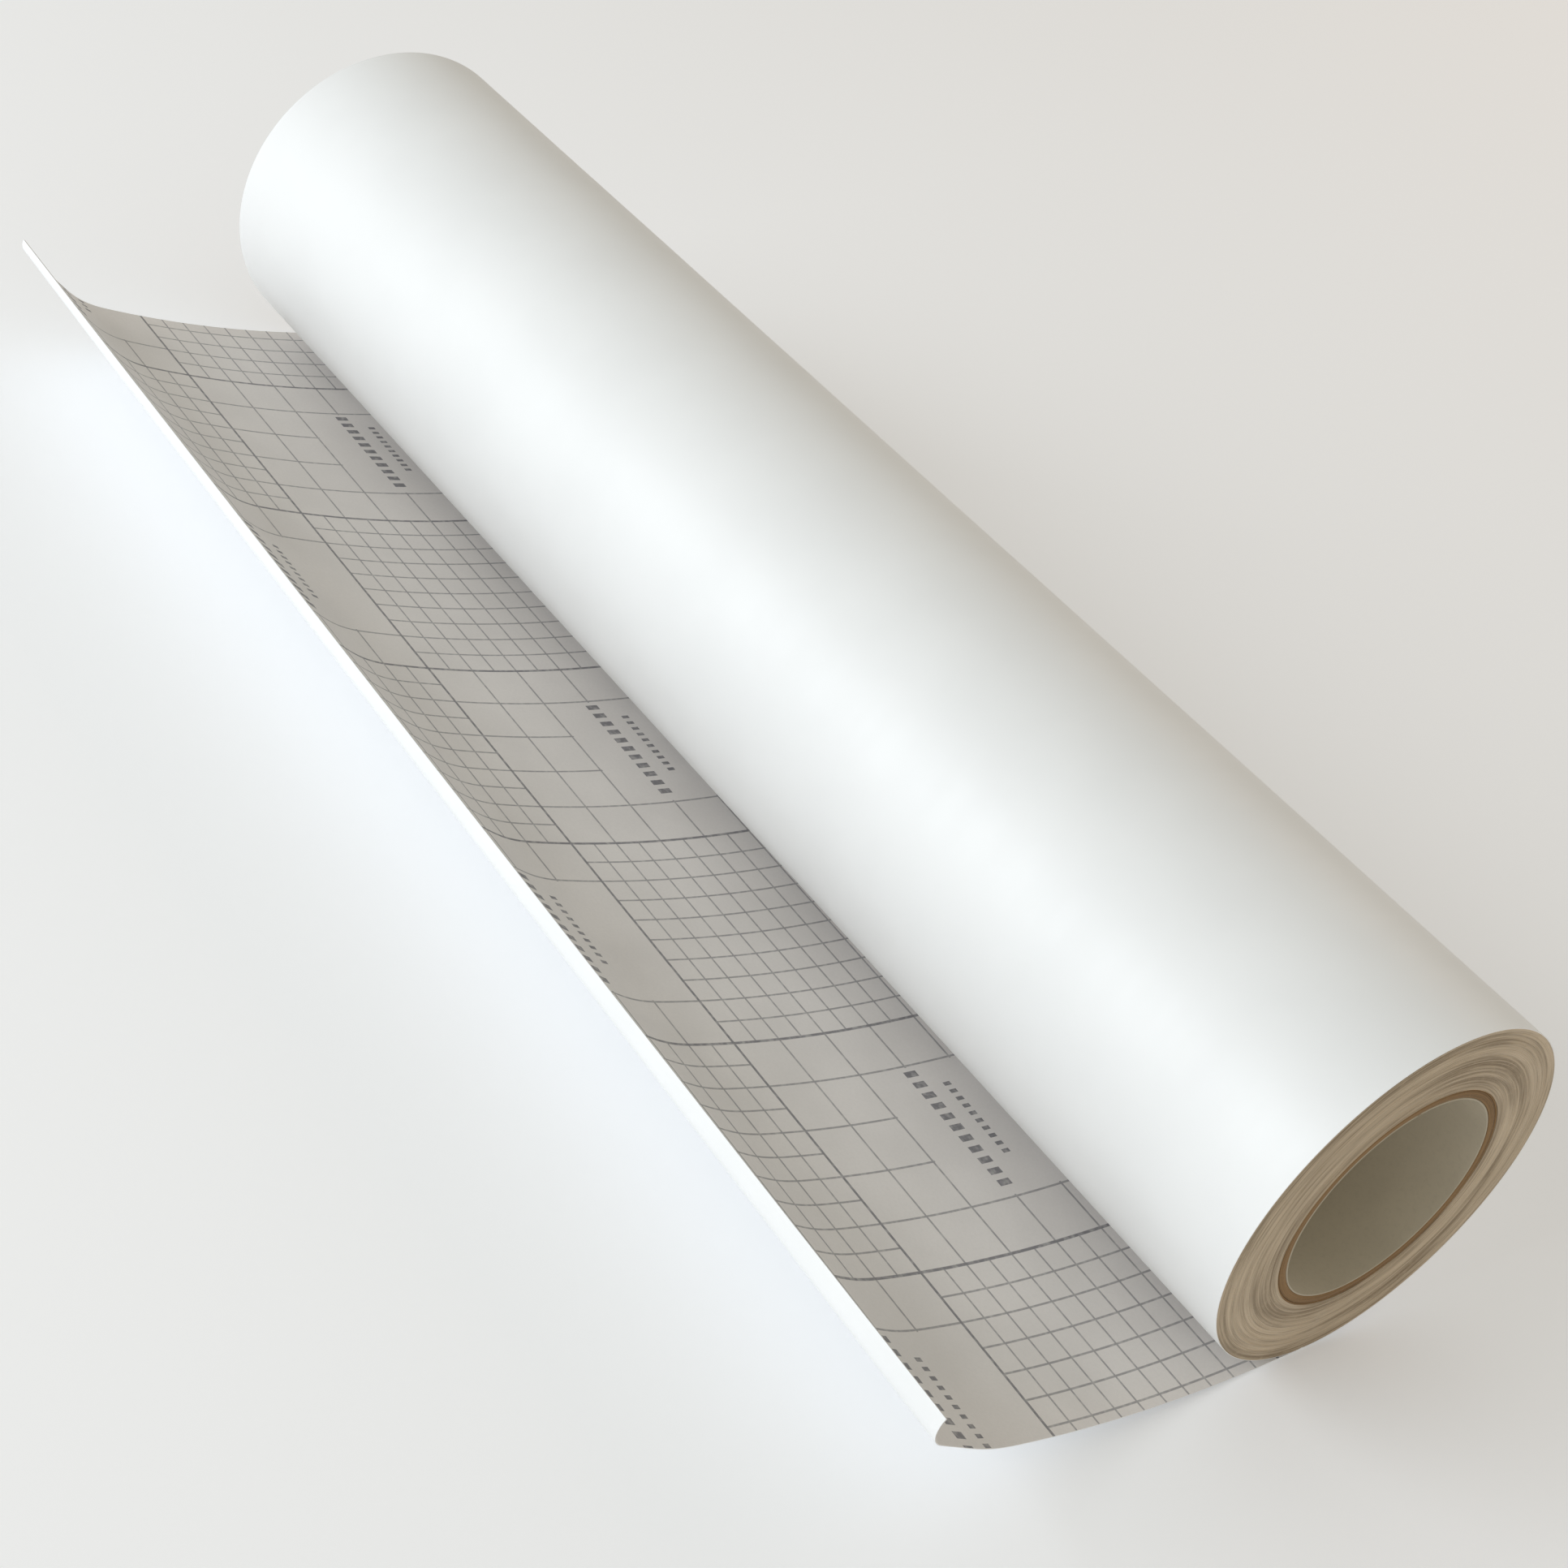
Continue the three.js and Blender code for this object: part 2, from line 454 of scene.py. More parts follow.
def grid_ink(f, sizes):
    """How much ink the printed grid has at a point of the web."""
    along, out = f.web()
    blocks_x = f.math("DIVIDE", f.math("SUBTRACT", along, sizes.first_cross), sizes.block)
    blocks_s = f.math("DIVIDE", f.math("SUBTRACT", out, sizes.first_long), sizes.block)
    in_x = f.math("MULTIPLY", f.math("FRACT", blocks_x), sizes.block)
    in_s = f.math("MULTIPLY", f.math("FRACT", blocks_s), sizes.block)
    count = f.math("ADD", f.math("FLOOR", blocks_x), f.math("FLOOR", blocks_s))
    coarse = f.math("FLOORED_MODULO", count, 2.0)

    cell = either(f, coarse, sizes.fine_cell, sizes.coarse_cell)
    width = either(f, coarse, sizes.fine_line, sizes.coarse_line)
    grid = f.math("MAXIMUM", line_mask(f, in_x, cell, width), line_mask(f, in_s, cell, width))

    gap = sizes.coarse_line
    panel = f.math(
        "MULTIPLY",
        inside_mask(f, in_x, sizes.panel_side + gap, sizes.block - sizes.panel_side - gap),
        inside_mask(f, in_s, sizes.panel_from + gap, sizes.block),
    )
    panel = f.math("MULTIPLY", panel, coarse)
    grid = f.math("MULTIPLY", grid, f.math("SUBTRACT", 1.0, panel))
    frame_x = line_mask(f, in_x, sizes.block, sizes.block_line)
    frame_s = line_mask(f, in_s, sizes.block, sizes.block_line)
    frame_lines = f.math("MAXIMUM", frame_x, frame_s)

    ticks = 0.0
    for start, level, run, height, pitch, thickness in TICK_ROWS:
        here = f.math("SUBTRACT", in_x, start)
        beat = f.math("MULTIPLY", f.math("FRACT", f.math("DIVIDE", here, pitch)), pitch)
        row = f.math("LESS_THAN", beat, thickness)
        row = f.math("MULTIPLY", row, inside_mask(f, here, 0.0, run))
        row = f.math("MULTIPLY", row, inside_mask(f, in_s, level - height / 2, level + height / 2))
        ticks = f.math("MAXIMUM", ticks, row)
    ticks = f.math("MULTIPLY", ticks, panel)
    return grid, frame_lines, ticks


def liner_finish(colours, sizes):
    """Printed face of the liner: clay-coated paper with a measuring grid in grey ink."""
    f = Finish("liner_printed")
    point = f.web_point()
    grid, frame_lines, ticks = grid_ink(f, sizes)
    cloud = f.noise(point, 28, detail=4)
    fibre = f.noise(point, 850, detail=5, roughness=0.7)
    paper = f.mix(f.stretch(cloud, 0.3, 0.7), shade(colours.liner, 0.96), shade(colours.liner, 1.03))
    paper = f.mix(f.stretch(fibre, 0.35, 0.7, 0.0, 0.16), paper, shade(colours.liner, 0.82))

    wear = f.stretch(f.noise(point, 420, detail=3), 0.25, 0.6, 0.62, 1.0)
    grid = f.math("MULTIPLY", grid, GRID_INK)
    share = f.math("MAXIMUM", grid, f.math("MULTIPLY", frame_lines, FRAME_INK))
    share = f.math("MAXIMUM", share, f.math("MULTIPLY", ticks, TICK_INK))
    share = f.math("MULTIPLY", share, wear)
    return f.surface(
        Base_Color=f.mix(share, paper, colours.ink),
        Roughness=f.stretch(fibre, 0.3, 0.7, 0.50, 0.62),
        IOR=1.45,
        Specular_IOR_Level=0.35,
        Normal=f.bump(fibre, 0.03 * MM, 0.5),
    )


def radius_of(f):
    """Distance from the core's axis."""
    split = f.node("SeparateXYZ", {"Vector": f.place()})
    y = f.math("SUBTRACT", split.outputs["Y"], AXIS.y)
    z = f.math("SUBTRACT", split.outputs["Z"], AXIS.z)
    total = f.math("ADD", f.math("MULTIPLY", y, y), f.math("MULTIPLY", z, z))
    return f.math("SQRT", total)


def ring_noise(f, per_metre, along=9.0, detail=3.0):
    """Noise that runs in rings round the core and changes slowly along them."""
    far = f.math("MULTIPLY", radius_of(f), per_metre)
    slow = f.node("Mapping", {"Vector": f.place(), "Scale": (along, along, along)})
    inputs = {"Vector": slow.outputs[0], "W": far, "Scale": 1.0, "Detail": detail}
    return f.node("TexNoise", inputs, noise_dimensions="4D").outputs["Fac"]


def slit_edge_finish(colours):
    """End faces of the wound web: slit edges of film and liner, turn after turn, with painted light
    and shade in rings and streaks, and dust flecks.
    """
    f = Finish("wound_web_slit_edges")
    wide = ring_noise(f, 260, along=14)
    narrow = ring_noise(f, 1500, along=40, detail=4)
    dust = f.noise(f.place(), 260, detail=4, roughness=0.7)
    # Painted light and shade: the rings round the core swing between a lit and a shaded edge colour.
    tint = f.mix(f.stretch(wide, 0.32, 0.68), colours.edge_shaded, colours.edge_lit_and_dust)
    # Painted highlight and painted shade: narrow lighter and darker streaks along the turns.
    tint = f.mix(f.stretch(narrow, 0.42, 0.66, 0.0, 0.55), tint, shade(colours.edge_lit_and_dust, 1.22))
    tint = f.mix(f.stretch(narrow, 0.48, 0.30, 0.0, 0.55), tint, shade(colours.edge_shaded, 0.9))
    # Dust flecks in the lighter edge colour.
    tint = f.mix(f.stretch(dust, 0.52, 0.72, 0.0, 0.35), tint, colours.edge_lit_and_dust)
    return f.surface(
        Base_Color=tint,
        Roughness=f.stretch(dust, 0.3, 0.7, 0.66, 0.82),
        Normal=f.bump(narrow, 0.12 * MM, 0.7),
    )


def board_finish(name, tone):
    """Kraft board: cut plies show as fine rings, and fibres as flecks."""
    f = Finish(name)
    plies = ring_noise(f, 2600, along=20)
    fleck = f.noise(f.place(), 1100, detail=4, roughness=0.7)
    tint = f.mix(f.stretch(plies, 0.35, 0.65), shade(tone, 0.72), shade(tone, 1.15))
    tint = f.mix(f.stretch(fleck, 0.5, 0.75, 0.0, 0.4), tint, shade(tone, 1.5))
    return f.surface(
        Base_Color=tint, Roughness=0.82, Normal=f.bump(fleck, 0.08 * MM, 0.6)
    )


LINING_PITCH = 0.124  # advance of the spiral-wound lining in one turn
LINING_SEAM = 0.0007


def lining_finish(colours):
    """Smooth paper inside the core, wound as a spiral, so its seam runs round as a helix."""
    f = Finish("core_lining_paper")
    along, turned = f.web()
    advance = f.math("ADD", along, f.math("MULTIPLY", turned, LINING_PITCH))
    seam = line_mask(f, advance, LINING_PITCH, LINING_SEAM)
    fibre = f.noise(f.place(), 700, detail=5, roughness=0.7)
    cloud = f.noise(f.place(), 60, detail=3)
    tint = f.mix(f.stretch(cloud, 0.3, 0.7), shade(colours.lining, 0.94), colours.lining)
    tint = f.mix(f.stretch(fibre, 0.45, 0.75, 0.0, 0.3), tint, shade(colours.lining, 0.75))
    tint = f.mix(f.math("MULTIPLY", seam, 0.5), tint, shade(colours.board, 0.7))
    raised = f.math("SUBTRACT", fibre, f.math("MULTIPLY", seam, 2.0))
    return f.surface(Base_Color=tint, Roughness=0.72, Normal=f.bump(raised, 0.10 * MM, 0.6))


def tape_finish(colours):
    """Double-sided starter tape: yellowed carrier with small bubbles."""
    f = Finish("starter_tape_yellowed")
    bubbles = f.noise(f.place(), 420, detail=2)
    tint = f.mix(f.stretch(bubbles, 0.4, 0.6), shade(colours.tape, 0.85), colours.tape)
    return f.surface(Base_Color=tint, Roughness=0.45, Normal=f.bump(bubbles, 0.05 * MM, 0.5))


def floor_finish(colours, glow):
    """Matt pale floor, lit a little from below."""
    f = Finish("studio_floor")
    cloud = f.noise(f.place(), 3, detail=2)
    tint = f.mix(cloud, shade(colours.floor, 0.99), colours.floor)
    return f.surface(
        Base_Color=tint,
        Roughness=0.85,
        Specular_IOR_Level=0.2,
        Emission_Color=GLOW_TINT,
        Emission_Strength=glow,
    )


# ---------------------------------------------------------------------------------------------
# Shape of the wound web
# ---------------------------------------------------------------------------------------------

FULL_TURN = 2 * math.pi
TAPE_POINTS = 28  # round the starter tape
TAPE_STEP = 0.05  # along it
EDGE_WANDER = (
    # turns per wave, share of the telescoping, start of the wave in turns
    (31.0, 0.42, 4.0),
    (11.3, 0.26, 1.7),
    (4.7, 0.20, 0.6),
    (1.9, 0.12, 0.9),
)
BAND_WAVES = ((0.31, 0.50, 0.07), (0.118, 0.30, 0.02), (0.047, 0.20, 0.011))


def edge_offset(turn, end):
    """How far the slit edge of a turn stands out at one end of the roll, as a share."""
    total = 0.0
    for wave, share, start in EDGE_WANDER:
        total = total + share * np.sin(FULL_TURN * (turn + start * (1 + end)) / wave)
    return total


def band(x):
    """Soft rings in the wound film, from 0 to 1 along the core."""
    total = 0.5
    for wave, share, start in BAND_WAVES:
        total = total + 0.5 * share * np.sin(FULL_TURN * (x + start) / wave)
    return total


def turn_radius(turned):
    """Outer radius of the outermost turn, which loses one thickness of web on its way round."""
    return ROLL_RADIUS - WEB_THICKNESS * turned / FULL_TURN


def outer_turn_grid(depth, sizes, x, turned):
    """Points of the outermost turn at one depth in the web."""
    sink = sizes.bands * band(x)[None, :] * (1 - np.cos(turned))[:, None] / 2
    radius = turn_radius(turned)[:, None] - depth - sink
    return round_axis(x[None, :], radius, turned[:, None])


def stations(step):
    """Places along the core, from end to end."""
    return np.linspace(-HALF_WIDTH, HALF_WIDTH, round(2 * HALF_WIDTH / step) + 1)


# ---------------------------------------------------------------------------------------------
# Shape of the tail
# ---------------------------------------------------------------------------------------------

# Where a sheet bends at a hinge: from the hinge line, towards the roll and away from it
BEND_ZONE = (0.007, -0.007)
CURL_ZONE = (0.0045, -0.004)
PEEL_ZONE = (0.0025, -0.0034)
SEAM_CLEARANCE = 0.0005  # from the liner's last seam to where it starts to bend
ROW_STEP = 0.0015
COLUMN_STEP = 0.01
SLOPE_STEP = 0.0005


def smooth(value):
    held = np.clip(value, 0, 1)
    return held * held * (3 - 2 * held)


class TailShape:
    """The curve of the tail at each place along the core."""

    def __init__(self, sizes):
        self.sizes = sizes
        self.x = stations(COLUMN_STEP)
        side = self.x / HALF_WIDTH
        self.total = sizes.reach + sizes.skew * side
        self.rise = sizes.rise - sizes.rise_skew * side
        self.bend = sizes.bend - sizes.bend_twist * side
        self.lip = sizes.lip + sizes.lip_twist * side
        self.lip_length = sizes.lip_length + sizes.lip_skew * side
        self.curves = [self.curve(column) for column in range(len(self.x))]

    def slope(self, out, column):
        """Slope at a distance from the free edge."""
        s = self.sizes
        lifted = s.slope * np.clip(1 - out / self.rise[column], 0, 1)
        bent = (self.bend[column] - lifted) * smooth((s.bend_length - out) / s.bend_length * 2)
        lip = self.lip[column] * np.clip(1 - out / self.lip_length[column], 0, 1)
        return lifted + bent + lip

    def curve(self, column):
        """Distance along the web, Y, Z and slope, from below the core's axis to the free edge."""
        total = self.total[column]
        s = np.linspace(0, total, round(total / SLOPE_STEP) + 1)
        slope = self.slope(total - s, column)
        middle = (slope[1:] + slope[:-1]) / 2
        ds = np.diff(s)
        y = AXIS.y - np.concatenate([[0], np.cumsum(np.cos(middle) * ds)])
        z = np.concatenate([[0], np.cumsum(np.sin(middle) * ds)])
        return s, y, z, slope

    def distance_at(self, y_line):
        """Distance along the web to a line of constant Y, at each place along the core."""
        return np.array([np.interp(-y_line, -y, s) for s, y, _, _ in self.curves])

    def grid(self, start, end, depth, lift=None):
        """Points of one layer between two distances along the web, and their UVs."""
        rows = round(float(np.max(end - start)) / ROW_STEP) + 1
        share = np.linspace(0, 1, rows)[:, None]
        s = start[None, :] + (end - start)[None, :] * share
        points = np.empty((*s.shape, 3))
        raised = np.zeros_like(s) if lift is None else lift(s)
        for column, (along, y, z, slope) in enumerate(self.curves):
            at = s[:, column]
            tilt = np.interp(at, along, slope)
            height = depth + raised[:, column]
            points[:, column, 0] = self.x[column]
            points[:, column, 1] = np.interp(at, along, y) + height * np.sin(tilt)
            points[:, column, 2] = np.interp(at, along, z) + height * np.cos(tilt)
        uvs = np.stack([np.broadcast_to(self.x, s.shape), self.total[None, :] - s], axis=-1)
        return points, uvs


def sheet_of(name, shape, layer, start, end, materials, lift=None):
    """One strip of one layer of the tail."""
    low, high = LAYER_DEPTHS[layer]
    lower, uvs = shape.grid(start, end, low, lift)
    upper, _ = shape.grid(start, end, high, lift)
    made = slab(name, lower, upper, uvs, materials)
    return made


def bend_between(piece):
    """Bakes a sheet's placement into its mesh."""
    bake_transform(piece)


SEAMS = (
    # lines of constant Y between the strips of the tail, in the middle of each leaf
    (BEND_1.y + BEND_2.y) / 2,
    (BEND_2.y + BEND_3.y) / 2,
    (BEND_3.y + CURL.y) / 2,
)
LINER_SEAM = PEEL.y + PEEL_ZONE[0] + SEAM_CLEARANCE


# ---------------------------------------------------------------------------------------------
# Operators
# ---------------------------------------------------------------------------------------------

def need(name):
    """A material that the finishes operator has made."""
    found = bpy.data.materials.get(name)
    if found is None:
        raise RuntimeError("run the finishes first: there is no material " + name)
    return found


class VINYLROLL_OT_finishes(Operator):
    """Makes the materials of film, adhesive, liner, slit edges, board and tape"""

    bl_idname = "vinylroll.finishes"
    bl_label = "Finishes"

    def execute(self, context):
        settings = context.scene.vinyl_roll
        colours = settings.colours
        film_finish(colours)
        adhesive_finish(colours)
        plain_liner_finish(colours)
        liner_finish(colours, settings.print_sizes)
        slit_edge_finish(colours)
        board_finish("core_board_plies", colours.board)
        board_finish("core_cover_paper", shade(colours.board, 1.25))
        lining_finish(colours)
        tape_finish(colours)
        return {"FINISHED"}


class VINYLROLL_OT_core(Operator):
    """Builds the three plies of the core as smooth tubes with softened rims"""

    bl_idname = "vinylroll.core"
    bl_label = "Core"

    def execute(self, context):
        sizes = context.scene.vinyl_roll.roll
        tubes = (
            ("core_lining_tube", "core_inner_ply", sizes.bore, CORE_LINING_RADIUS),
            ("core_board_tube", "core_body_plies", CORE_LINING_RADIUS, CORE_BODY_RADIUS),
            ("core_cover_tube", "core_outer_ply", CORE_BODY_RADIUS, CORE_RADIUS),
        )
        finishes = ("core_lining_paper", "core_board_plies", "core_cover_paper")
        for (name, node, inner, outer), finish in zip(tubes, finishes):
            piece = self.tube(name, inner, outer, sizes, need(finish))
            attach(piece, "roll")
            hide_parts(node)
        return {"FINISHED"}

    def tube(self, name, inner, outer, sizes, material):
        """A tube with both rims rounded off."""
        rim = min(sizes.core_rim, (outer - inner) / 3)
        end = HALF_WIDTH
        profile = []
        for side in (1, -1):
            first, last = (inner, outer) if side > 0 else (outer, inner)
            inward = rim if side > 0 else -rim
            profile += [(side * (end - rim), first), (side * end, first + inward)]
            profile += [(side * end, last - inward), (side * (end - rim), last)]
        turned = np.linspace(0, FULL_TURN, sizes.segments, endpoint=False)
        x = np.array([p[0] for p in profile])[:, None]
        radius = np.array([p[1] for p in profile])[:, None]
        grid = round_axis(x, radius, turned[None, :])
        share = np.broadcast_to(turned[None, :] / FULL_TURN, grid.shape[:2])
        uvs = np.stack([np.broadcast_to(x, grid.shape[:2]), share], axis=-1)
        return ring(name, grid, uvs, [material])


class VINYLROLL_OT_starter_tape(Operator):
    """Builds the starter tape, a thin strip between the core and the first turn"""

    bl_idname = "vinylroll.starter_tape"
    bl_label = "Starter tape"

    def execute(self, context):
        node = frame["nodes"]["starter_tape"]
        spots = [(v.co.y - AXIS.y, v.co.z - AXIS.z) for v in node.data.vertices]
        reach = [math.hypot(*spot) for spot in spots]
        angles = [math.atan2(y, -z) % FULL_TURN for y, z in spots]
        turned = np.linspace(min(angles), max(angles), TAPE_POINTS)
        thickness = max(reach) - min(reach)
        x = stations(TAPE_STEP)
        sides = [
            round_axis(x[None, :], CORE_RADIUS + up, turned[:, None]) for up in (0, thickness)
        ]
        along = np.broadcast_to((turned * CORE_RADIUS)[:, None], sides[0].shape[:2])
        uvs = np.stack([np.broadcast_to(x, along.shape), along], axis=-1)
        piece = slab("starter_tape_strip", *sides, uvs, [need("starter_tape_yellowed")])
        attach(piece, "roll")
        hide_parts("starter_tape")
        return {"FINISHED"}


class VINYLROLL_OT_wound_web(Operator):
    """Builds all the turns under the outermost one, with the slit edge of every turn"""

    bl_idname = "vinylroll.wound_web"
    bl_label = "Wound web"

    def execute(self, context):
        sizes = context.scene.vinyl_roll.roll
        turned = np.linspace(0, FULL_TURN, sizes.segments, endpoint=False)
        outside = turn_radius(turned) - WEB_THICKNESS
        turns = round((ROLL_RADIUS - WEB_THICKNESS - CORE_RADIUS) / WEB_THICKNESS)
        share = np.linspace(0, 1, 2 * turns + 1)[:, None]
        radius = CORE_RADIUS + (outside[None, :] - CORE_RADIUS) * share
        turn = share * turns + turned[None, :] / FULL_TURN
        groove = np.where(np.arange(2 * turns + 1) % 2 == 0, sizes.groove, 0.0)[:, None]
        rows = []
        for end in (1, -1):
            face = HALF_WIDTH + sizes.telescope * edge_offset(turn, end) - groove
            points = round_axis(end * face, radius, turned[None, :])
            rows.append(points if end > 0 else points[::-1])
        grid = np.concatenate(rows)
        around = np.broadcast_to(turned[None, :], grid.shape[:2])
        uvs = np.stack([grid[..., 0], around * ROLL_RADIUS], axis=-1)
        piece = ring("wound_turns", grid, uvs, [need("wound_web_slit_edges")])
        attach(piece, "roll")
        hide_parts("wound_web")
        return {"FINISHED"}


class VINYLROLL_OT_outer_turn(Operator):
    """Builds film, adhesive and liner of the outermost turn, as one smooth spiral turn"""

    bl_idname = "vinylroll.outer_turn"
    bl_label = "Outer turn"

    def execute(self, context):
        sizes = context.scene.vinyl_roll.roll
        finishes = {"film": "film_white_satin", "adhesive": "adhesive_gloss", "liner": "liner_back"}
        x = stations(COLUMN_STEP)
        turned = np.linspace(0, FULL_TURN, sizes.segments + 1)
        arc = np.broadcast_to((-turned * ROLL_RADIUS)[:, None], (len(turned), len(x)))
        uvs = np.stack([np.broadcast_to(x, arc.shape), arc], axis=-1)
        for layer in LAYERS:
            near, far = LAYER_DEPTHS[layer]
            inner = outer_turn_grid(far, sizes, x, turned)
            outer = outer_turn_grid(near, sizes, x, turned)
            piece = slab(layer + "_wrap", inner, outer, uvs, [need(finishes[layer])])
            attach(piece, "roll")
            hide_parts(layer + "_outer_turn")
        return {"FINISHED"}


class VINYLROLL_OT_film_tail(Operator):
    """Builds film and adhesive of the tail, as four strips that meet along lines of constant Y"""

    bl_idname = "vinylroll.film_tail"
    bl_label = "Film and adhesive tail"

    def execute(self, context):
        shape = TailShape(context.scene.vinyl_roll.tail)
        finishes = {"film": "film_white_satin", "adhesive": "adhesive_gloss"}
        cuts = [np.zeros(len(shape.x))]
        cuts += [shape.distance_at(y) for y in SEAMS]
        cuts.append(shape.total)
        bends = (
            ("roll", "tail_1", BEND_1, BEND_ZONE, ("_tail_start", "_tail_1")),
            ("tail_1", "tail_2", BEND_2, BEND_ZONE, ("_tail_2",)),
            ("tail_2", "tail_3", BEND_3, BEND_ZONE, ("_tail_3",)),
            ("tail_3", "tail_edge", CURL, CURL_ZONE, ("_tail_edge",)),
        )
        for layer, finish in finishes.items():
            for k, (inner, outer, line, zone, nodes) in enumerate(bends):
                name = f"{layer}_sheet_{k + 1}"
                piece = sheet_of(name, shape, layer, cuts[k], cuts[k + 1], [need(finish)])
                bend_between(piece)
                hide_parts(*[layer + node for node in nodes])
        return {"FINISHED"}


class VINYLROLL_OT_liner_tail(Operator):
    """Builds the printed liner of the tail, and the part of it at the free edge as a strip of its own
    """

    bl_idname = "vinylroll.liner_tail"
    bl_label = "Liner tail"

    def execute(self, context):
        sizes = context.scene.vinyl_roll.tail
        shape = TailShape(sizes)
        cuts = [np.zeros(len(shape.x))]
        cuts += [shape.distance_at(y) for y in (*SEAMS, LINER_SEAM)]
        cuts.append(shape.total)

        def lift(s):
            return sizes.lift * smooth(1 - (shape.total - s) / sizes.lift_length)

        bends = (
            ("liner_sheet_1", "roll", "tail_1", BEND_1, BEND_ZONE, ("tail_start", "tail_1")),
            ("liner_sheet_2", "tail_1", "tail_2", BEND_2, BEND_ZONE, ("tail_2",)),
            ("liner_sheet_3", "tail_2", "tail_3", BEND_3, BEND_ZONE, ("tail_3",)),
            ("liner_sheet_4", "tail_3", "tail_edge", CURL, CURL_ZONE, ("tail_edge",)),
            ("liner_peel_flap", "tail_edge", "liner_flap", PEEL, PEEL_ZONE, ("flap",)),
        )
        finishes = [need("liner_printed"), need("liner_back")]
        for k, (name, inner, outer, line, zone, nodes) in enumerate(bends):
            raised = lift if name == "liner_peel_flap" else None
            piece = sheet_of(name, shape, "liner", cuts[k], cuts[k + 1], finishes, raised)
            bend_between(piece)
            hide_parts(*["liner_" + node for node in nodes])
        return {"FINISHED"}


# Floor, camera and lights of the stage
FLOOR_SIZE = 12.0
FLOOR_DROP = 0.0001
SENSOR_WIDTH = 36
CAMERA_PLACE = Vector((0.56796, -0.53188, 0.53989))
CAMERA_RIGHT = Vector((0.56435, 0.77904, 0.27314))
CAMERA_FORWARD = Vector((-0.56594, 0.60598, -0.55902))
KEY_PLACE = Vector((-0.75, -2.10, 0.93))
KEY_SIZE = (2.4, 1.3)
KEY_TINT = (0.86, 0.925, 1.0)
FILL_PLACE = Vector((0.0, 1.994, 0.98))
FILL_SIZE = (2.4, 1.0)
FILL_TINT = (1.0, 0.755, 0.61)
SKY_TINT = (1.0, 0.965, 0.86, 1.0)
GLOW_TINT = (0.86, 0.91, 1.0, 1.0)
AIM = Vector((0, 0, 0.05))


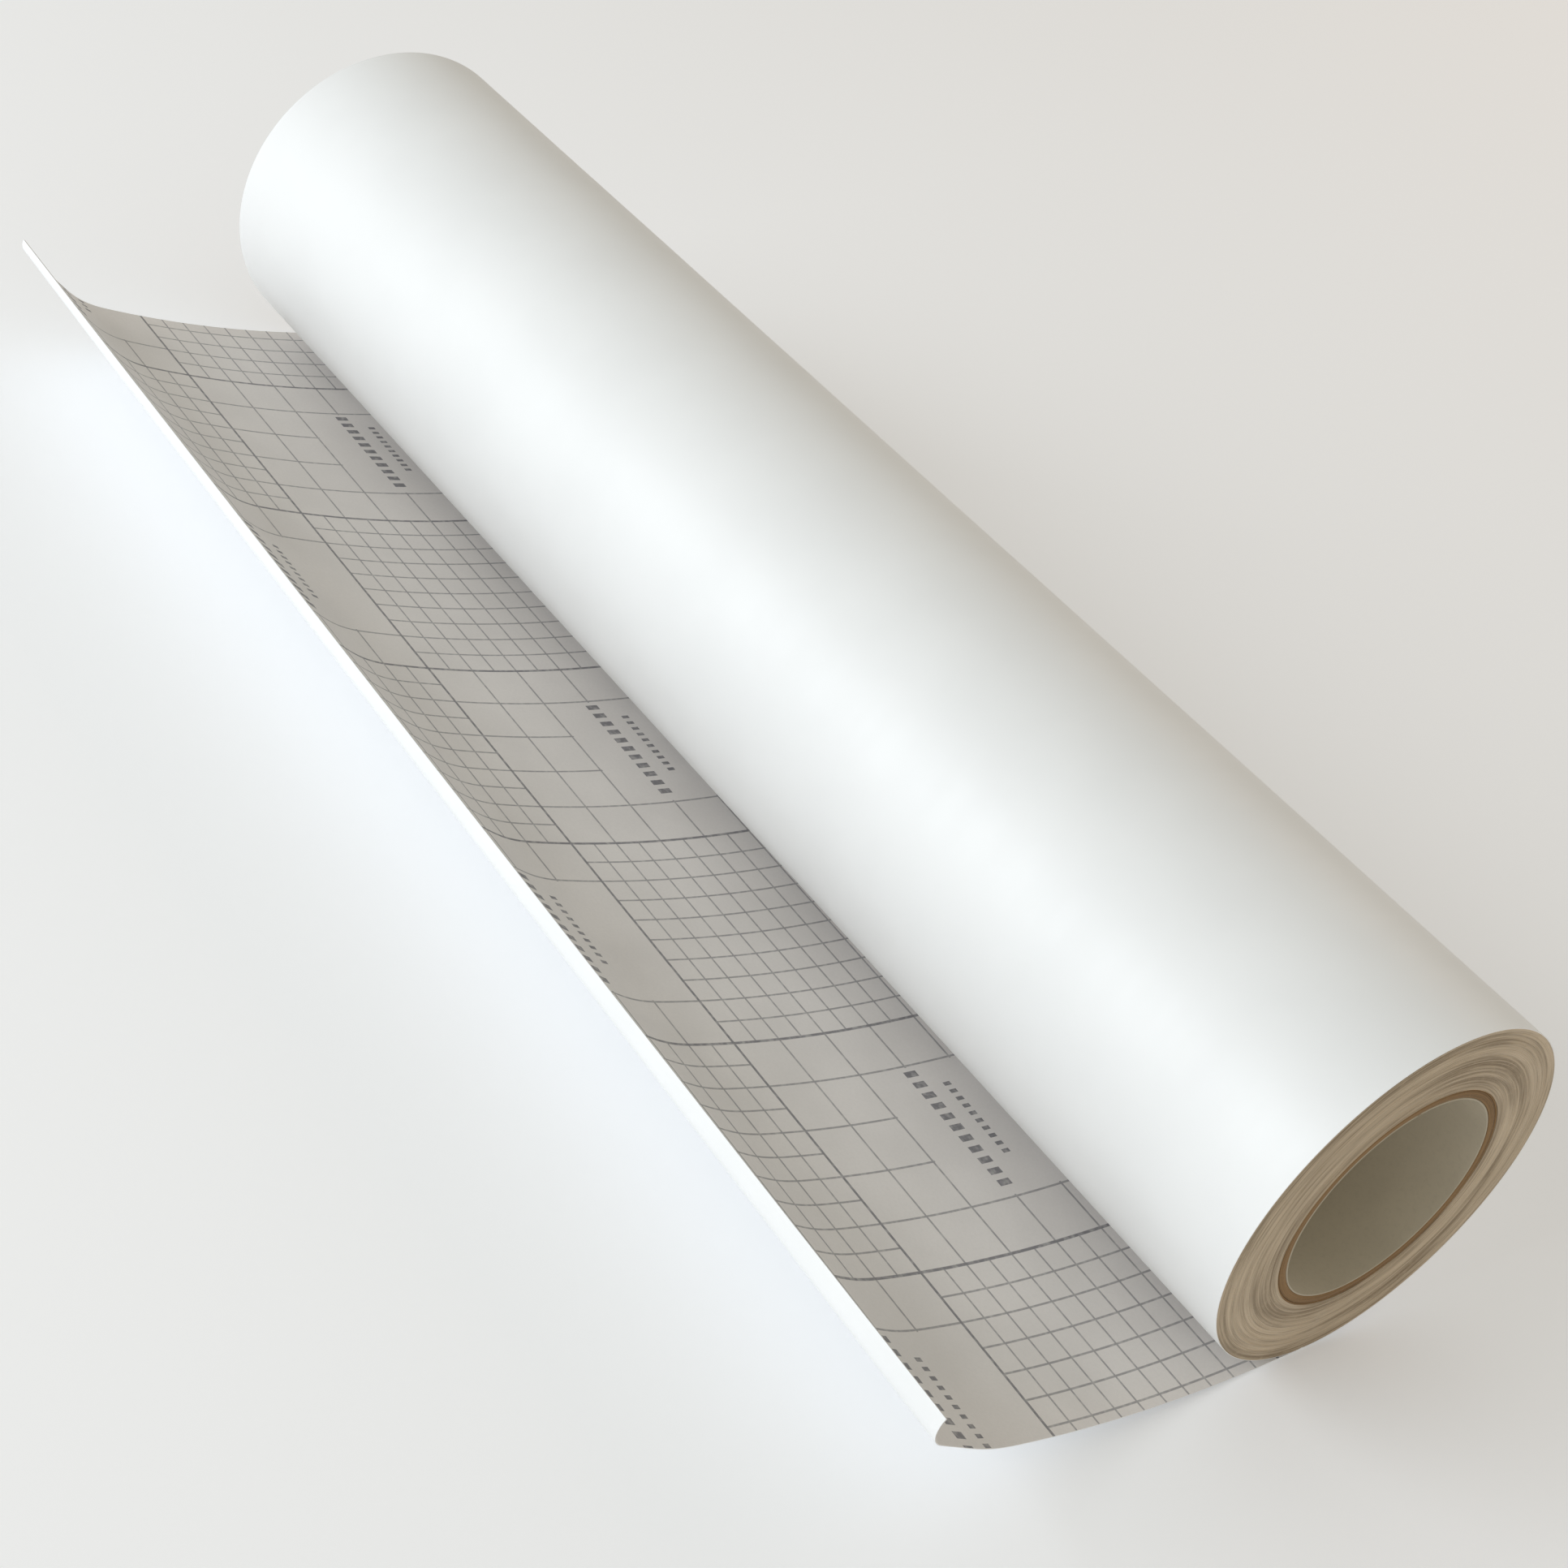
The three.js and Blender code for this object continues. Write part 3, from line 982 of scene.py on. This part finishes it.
class VINYLROLL_OT_stage(Operator):
    """Makes the floor, the soft lights, the even surroundings and the camera"""

    bl_idname = "vinylroll.stage"
    bl_label = "Stage"

    def execute(self, context):
        settings = context.scene.vinyl_roll
        self.floor(settings)
        self.light("key_light", settings.stage.key, KEY_PLACE, KEY_SIZE, KEY_TINT)
        self.light("fill_light", settings.stage.fill, FILL_PLACE, FILL_SIZE, FILL_TINT)
        self.surroundings(context.scene, settings.stage.sky)
        self.camera(context.scene, settings.stage.lens)
        context.scene.view_settings.view_transform = "Standard"
        return {"FINISHED"}

    def floor(self, settings):
        shape = bmesh.new()
        bmesh.ops.create_grid(shape, x_segments=2, y_segments=2, size=FLOOR_SIZE / 2)
        mesh = bpy.data.meshes.new("studio_floor")
        shape.to_mesh(mesh)
        shape.free()
        floor = bpy.data.objects.new("studio_floor", mesh)
        floor.location.z = -FLOOR_DROP
        mesh.materials.append(floor_finish(settings.colours, settings.stage.floor_glow))
        bpy.context.scene.collection.objects.link(floor)

    def light(self, name, power, place, size, tint):
        lamp = bpy.data.lights.new(name, "AREA")
        lamp.shape = "RECTANGLE"
        lamp.size, lamp.size_y = size
        lamp.energy = power
        lamp.color = tint
        thing = bpy.data.objects.new(name, lamp)
        thing.location = place
        thing.rotation_euler = (AIM - place).to_track_quat("-Z", "Y").to_euler()
        bpy.context.scene.collection.objects.link(thing)

    def surroundings(self, scene, strength):
        world = bpy.data.worlds.new("studio_surroundings")
        world.use_nodes = True
        background = world.node_tree.nodes["Background"]
        background.inputs["Color"].default_value = SKY_TINT
        background.inputs["Strength"].default_value = strength
        scene.world = world

    def camera(self, scene, lens):
        eye = bpy.data.cameras.new("camera")
        eye.lens = lens
        eye.sensor_width = SENSOR_WIDTH
        thing = bpy.data.objects.new("camera", eye)
        back = -CAMERA_FORWARD.normalized()
        up = back.cross(CAMERA_RIGHT).normalized()
        right = up.cross(back)
        turn = Matrix((right, up, back)).transposed().to_4x4()
        thing.matrix_world = Matrix.Translation(CAMERA_PLACE) @ turn
        scene.collection.objects.link(thing)
        scene.camera = thing


# ---------------------------------------------------------------------------------------------
# Panel and registration
# ---------------------------------------------------------------------------------------------

class RollSettings(PropertyGroup):
    """Everything that a user may change"""

    roll: PointerProperty(type=RollSizes)
    tail: PointerProperty(type=TailSizes)
    print_sizes: PointerProperty(type=PrintSizes)
    colours: PointerProperty(type=FinishColours)
    stage: PointerProperty(type=StageSettings)


STEPS = (
    VINYLROLL_OT_stage,
    VINYLROLL_OT_finishes,
    VINYLROLL_OT_core,
    VINYLROLL_OT_starter_tape,
    VINYLROLL_OT_wound_web,
    VINYLROLL_OT_outer_turn,
    VINYLROLL_OT_film_tail,
    VINYLROLL_OT_liner_tail,
)


class VINYLROLL_PT_panel(Panel):
    """Sizes, colours and steps of the vinyl roll"""

    bl_idname = "VINYLROLL_PT_panel"
    bl_label = "Vinyl roll"
    bl_space_type = "VIEW_3D"
    bl_region_type = "UI"
    bl_category = "Vinyl roll"

    def draw(self, context):
        settings = context.scene.vinyl_roll
        for part in settings.__annotations__:
            group = getattr(settings, part)
            box = self.layout.box()
            for name in group.__annotations__:
                box.prop(group, name)
        for step in STEPS:
            self.layout.operator(step.bl_idname)


CLASSES = (
    RollSizes,
    TailSizes,
    PrintSizes,
    FinishColours,
    StageSettings,
    RollSettings,
    *STEPS,
    VINYLROLL_PT_panel,
)


def register():
    for item in CLASSES:
        bpy.utils.register_class(item)
    bpy.types.Scene.vinyl_roll = PointerProperty(type=RollSettings)


def unregister():
    del bpy.types.Scene.vinyl_roll
    for item in reversed(CLASSES):
        bpy.utils.unregister_class(item)


def main():
    register()
    bpy.ops.vinylroll.stage()
    bpy.ops.vinylroll.finishes()
    bpy.ops.vinylroll.core()
    bpy.ops.vinylroll.starter_tape()
    bpy.ops.vinylroll.wound_web()
    bpy.ops.vinylroll.outer_turn()
    bpy.ops.vinylroll.film_tail()
    bpy.ops.vinylroll.liner_tail()


if __name__ == "__main__":
    main()
